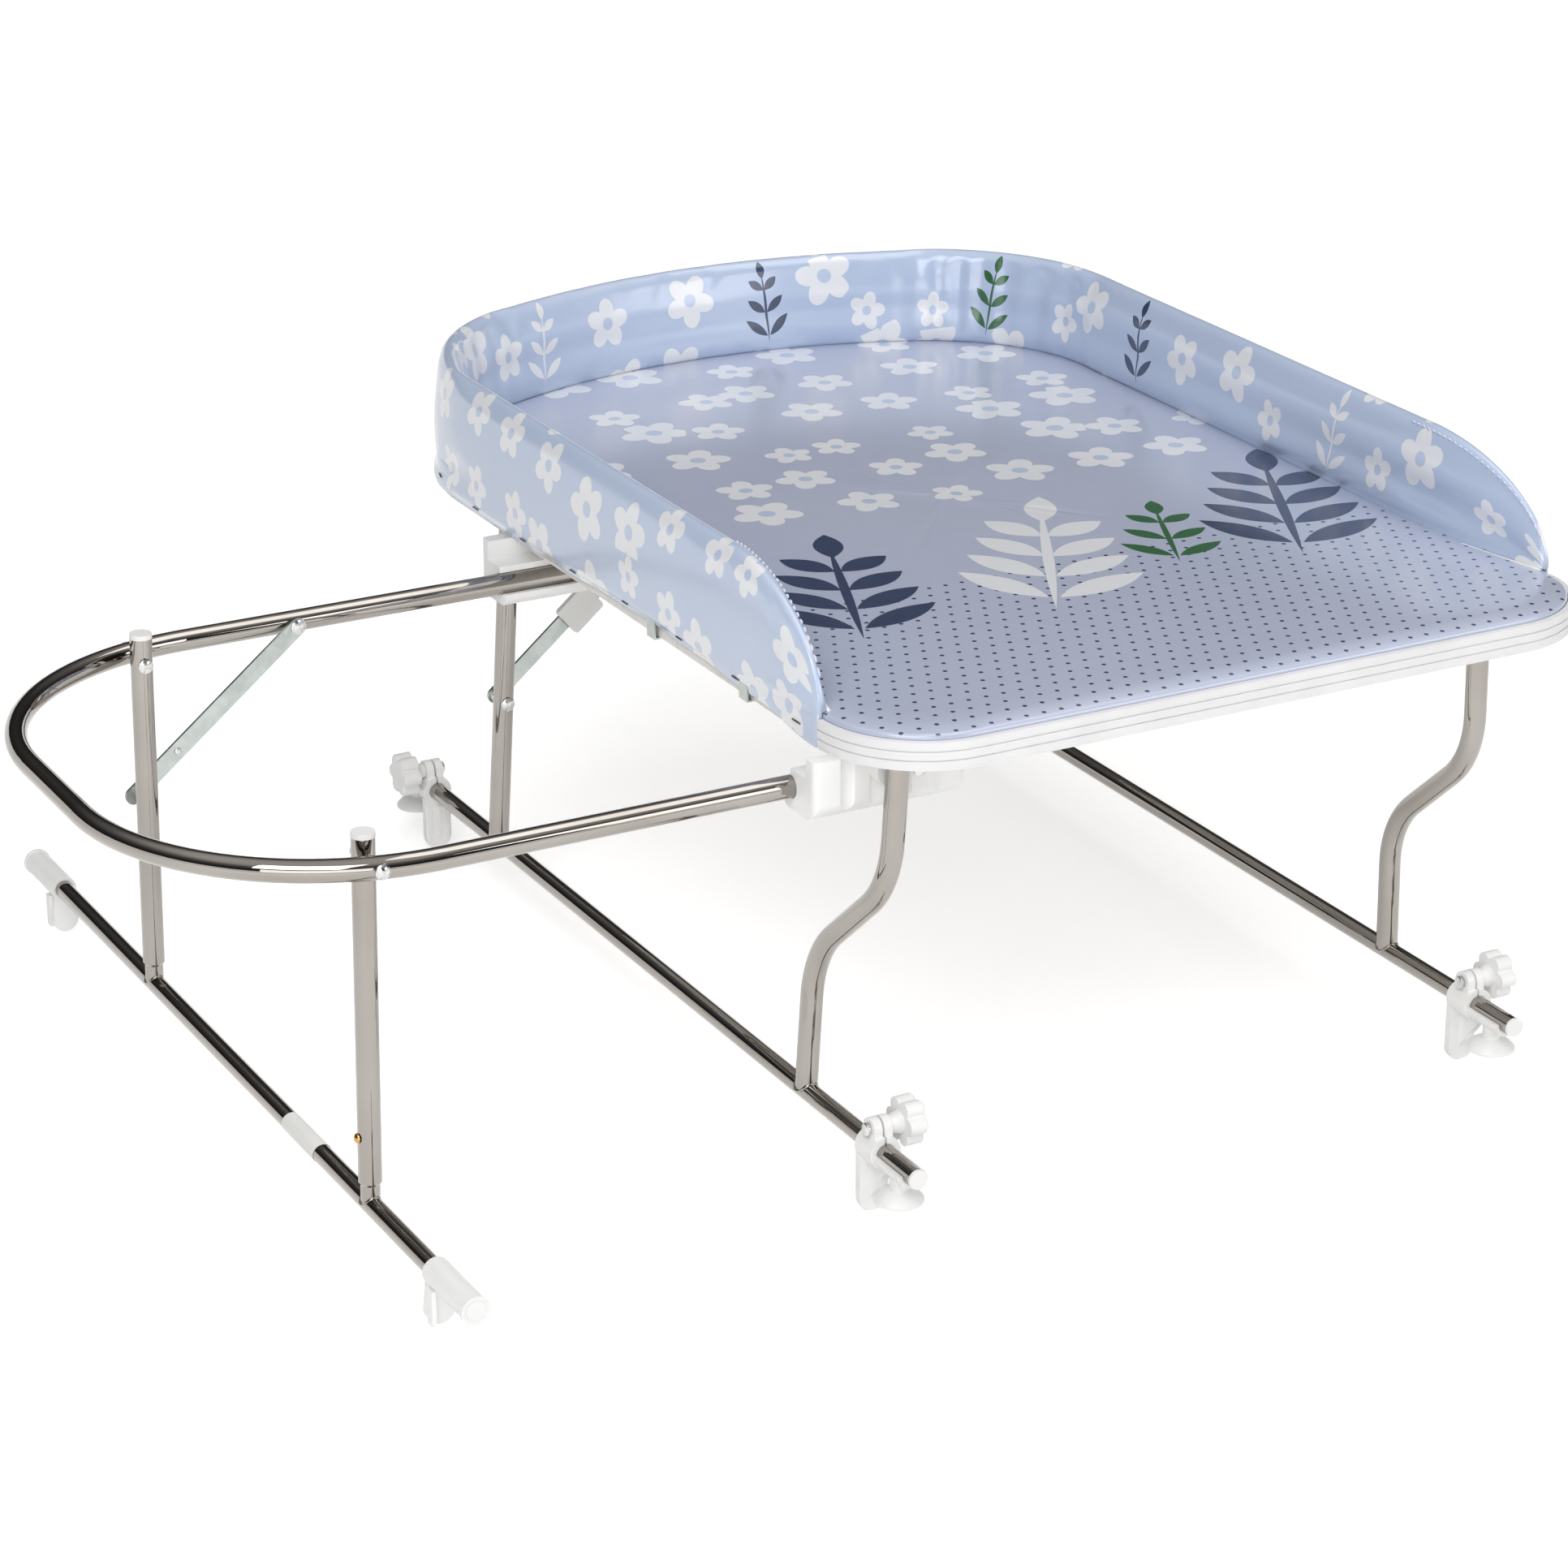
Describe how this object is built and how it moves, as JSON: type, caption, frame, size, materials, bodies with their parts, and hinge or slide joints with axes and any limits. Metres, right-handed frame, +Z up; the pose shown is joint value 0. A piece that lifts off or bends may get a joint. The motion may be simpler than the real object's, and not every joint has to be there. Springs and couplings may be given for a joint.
{
  "type": "bath-top changing table",
  "caption": "Folding changing table that stands on a bath: padded top with a raised rim on chrome leg frames, and a sliding U-shaped ring that holds a baby tub.",
  "frame": {"origin": "middle of the footprint at the level of the clamp tabs' lowest points", "axes": "+X from the tub ring towards the top, +Y from the open near edge towards the rounded back, +Z up"},
  "size_m": [1.0609, 0.9128, 0.431],
  "materials": {
    "chrome_tube": "bright chrome-plated steel tube",
    "zinc_strip": "zinc-plated strip, slightly mottled",
    "plated_steel": "plated rivets, pins and screws",
    "brass_rivet": "small brass rivet",
    "white_plastic": "white moulded plastic, slightly milky",
    "soft_cup": "soft milky cup",
    "board": "white-faced chipboard",
    "printed_cover": "printed vinyl cover over thin foam",
    "rim_cover": "printed vinyl cover over a foam rim"
  },
  "bodies": {
    "table": {"bolster": "rim_cover", "bolster_clips": "zinc_strip", "bracket_screws": "plated_steel", "middle_hinge_bolts": "plated_steel", "middle_stay_anchor": "zinc_strip", "rear_hinge_bolts": "plated_steel", "rear_hinge_far": "white_plastic", "rear_hinge_near": "white_plastic", "rear_stay_anchor": "zinc_strip", "rim_skirt": "rim_cover", "slide_bracket_far": "white_plastic", "slide_bracket_near": "white_plastic", "table_board": "board", "table_edging": "white_plastic", "table_pad": "printed_cover"},
    "middle_near_rim_clamp": {"middle_near_clamp": "white_plastic", "middle_near_suction_cup": "soft_cup", "middle_near_clamp_screw": "plated_steel"},
    "middle_near_knob": {"middle_near_star_knob": "white_plastic"},
    "middle_far_rim_clamp": {"middle_far_clamp": "white_plastic", "middle_far_suction_cup": "soft_cup", "middle_far_clamp_screw": "plated_steel"},
    "middle_far_knob": {"middle_far_star_knob": "white_plastic"},
    "middle_frame": {"middle_cross_tube": "chrome_tube", "middle_s_leg": "chrome_tube", "middle_straight_leg": "chrome_tube", "middle_end_plugs": "white_plastic", "middle_stay_pin": "plated_steel"},
    "middle_lower_stay": {"middle_stay_lower": "zinc_strip"},
    "middle_upper_stay": {"middle_stay_upper": "zinc_strip"},
    "middle_lock": {"middle_lock_sleeve": "white_plastic"},
    "rear_near_rim_clamp": {"rear_near_clamp": "white_plastic", "rear_near_suction_cup": "soft_cup", "rear_near_clamp_screw": "plated_steel"},
    "rear_near_knob": {"rear_near_star_knob": "white_plastic"},
    "rear_far_rim_clamp": {"rear_far_clamp": "white_plastic", "rear_far_suction_cup": "soft_cup", "rear_far_clamp_screw": "plated_steel"},
    "rear_far_knob": {"rear_far_star_knob": "white_plastic"},
    "rear_frame": {"rear_cross_tube": "chrome_tube", "rear_s_leg": "chrome_tube", "rear_straight_leg": "chrome_tube", "rear_end_plugs": "white_plastic", "rear_stay_pin": "plated_steel"},
    "rear_lower_stay": {"rear_stay_lower": "zinc_strip"},
    "rear_upper_stay": {"rear_stay_upper": "zinc_strip"},
    "rear_lock": {"rear_lock_sleeve": "white_plastic"},
    "ring": {"ring_tube": "chrome_tube", "ring_rivets": "plated_steel", "brace_rivet": "plated_steel"},
    "front_frame": {"front_post_near": "chrome_tube", "front_post_far": "chrome_tube", "front_cross_tube": "chrome_tube", "post_caps": "white_plastic", "foot_cap_near": "white_plastic", "foot_cap_far": "white_plastic", "post_button": "brass_rivet", "latch_pin": "plated_steel"},
    "front_stay": {"front_brace": "zinc_strip"}
  },
  "joints": [
    {"name": "ring_slide", "type": "slide", "parent": "table", "child": "ring", "axis": [-1, 0, 0], "range_m": [0, 0.22]},
    {"name": "front_fold", "type": "hinge", "parent": "ring", "child": "front_frame", "pos_m": [-0.38704, -0.0924, 0.3], "axis": [0, -1, 0], "range_deg": [0, 80]},
    {"name": "front_stay_swing", "type": "hinge", "parent": "ring", "child": "front_stay", "pos_m": [-0.2604, 0.1206, 0.3], "axis": [0, 1, 0], "range_deg": [0, 33]},
    {"name": "middle_fold", "type": "hinge", "parent": "table", "child": "middle_frame", "pos_m": [-0.04013, -0.0924, 0.316], "axis": [0, -1, 0], "range_deg": [0, 62]},
    {"name": "middle_lower_stay_turn", "type": "hinge", "parent": "middle_frame", "child": "middle_lower_stay", "pos_m": [-0.04924, 0.2403, 0.167], "axis": [0, -1, 0], "range_deg": [0, 48.21]},
    {"name": "middle_upper_stay_turn", "type": "hinge", "parent": "table", "child": "middle_upper_stay", "pos_m": [0.12376, 0.2372, 0.312], "axis": [0, -1, 0], "range_deg": [-28.84, 0]},
    {"name": "middle_lock_slide", "type": "slide", "parent": "middle_upper_stay", "child": "middle_lock", "axis": [0.7664, 0, 0.6424], "range_m": [0, 0.045]},
    {"name": "middle_near_clamp_slide", "type": "slide", "parent": "middle_frame", "child": "middle_near_rim_clamp", "axis": [0, 1, 0], "range_m": [0, 0.06]},
    {"name": "middle_near_knob_turn", "type": "hinge", "parent": "middle_near_rim_clamp", "child": "middle_near_knob", "pos_m": [-0.0404, -0.3794, 0.0655], "axis": [1, 0, 0], "range_deg": [0, 720]},
    {"name": "middle_far_clamp_slide", "type": "slide", "parent": "middle_frame", "child": "middle_far_rim_clamp", "axis": [0, -1, 0], "range_m": [0, 0.06]},
    {"name": "middle_far_knob_turn", "type": "hinge", "parent": "middle_far_rim_clamp", "child": "middle_far_knob", "pos_m": [-0.0724, 0.3546, 0.0655], "axis": [-1, 0, 0], "range_deg": [0, 720]},
    {"name": "rear_fold", "type": "hinge", "parent": "table", "child": "rear_frame", "pos_m": [0.43256, -0.0924, 0.316], "axis": [0, 1, 0], "range_deg": [0, 80]},
    {"name": "rear_lower_stay_turn", "type": "hinge", "parent": "rear_frame", "child": "rear_lower_stay", "pos_m": [0.43595, 0.2403, 0.167], "axis": [0, 1, 0], "range_deg": [0, 59.22]},
    {"name": "rear_upper_stay_turn", "type": "hinge", "parent": "table", "child": "rear_upper_stay", "pos_m": [0.26294, 0.2372, 0.312], "axis": [0, 1, 0], "range_deg": [-29.06, 0]},
    {"name": "rear_lock_slide", "type": "slide", "parent": "rear_upper_stay", "child": "rear_lock", "axis": [-0.7664, 0, 0.6424], "range_m": [0, 0.045]},
    {"name": "rear_near_clamp_slide", "type": "slide", "parent": "rear_frame", "child": "rear_near_rim_clamp", "axis": [0, 1, 0], "range_m": [0, 0.06]},
    {"name": "rear_near_knob_turn", "type": "hinge", "parent": "rear_near_rim_clamp", "child": "rear_near_knob", "pos_m": [0.4546, -0.3794, 0.0655], "axis": [1, 0, 0], "range_deg": [0, 720]},
    {"name": "rear_far_clamp_slide", "type": "slide", "parent": "rear_frame", "child": "rear_far_rim_clamp", "axis": [0, -1, 0], "range_m": [0, 0.06]},
    {"name": "rear_far_knob_turn", "type": "hinge", "parent": "rear_far_rim_clamp", "child": "rear_far_knob", "pos_m": [0.4226, 0.3546, 0.0655], "axis": [-1, 0, 0], "range_deg": [0, 720]}
  ],
  "couplings": [
    {"joint": "front_stay_swing", "follows": "front_fold", "ratio": 0.4125},
    {"joint": "middle_lower_stay_turn", "follows": "middle_fold", "ratio": 0.7776},
    {"joint": "middle_upper_stay_turn", "follows": "middle_fold", "ratio": -0.46513},
    {"joint": "rear_lower_stay_turn", "follows": "rear_fold", "ratio": 0.74024},
    {"joint": "rear_upper_stay_turn", "follows": "rear_fold", "ratio": -0.36329}
  ]
}
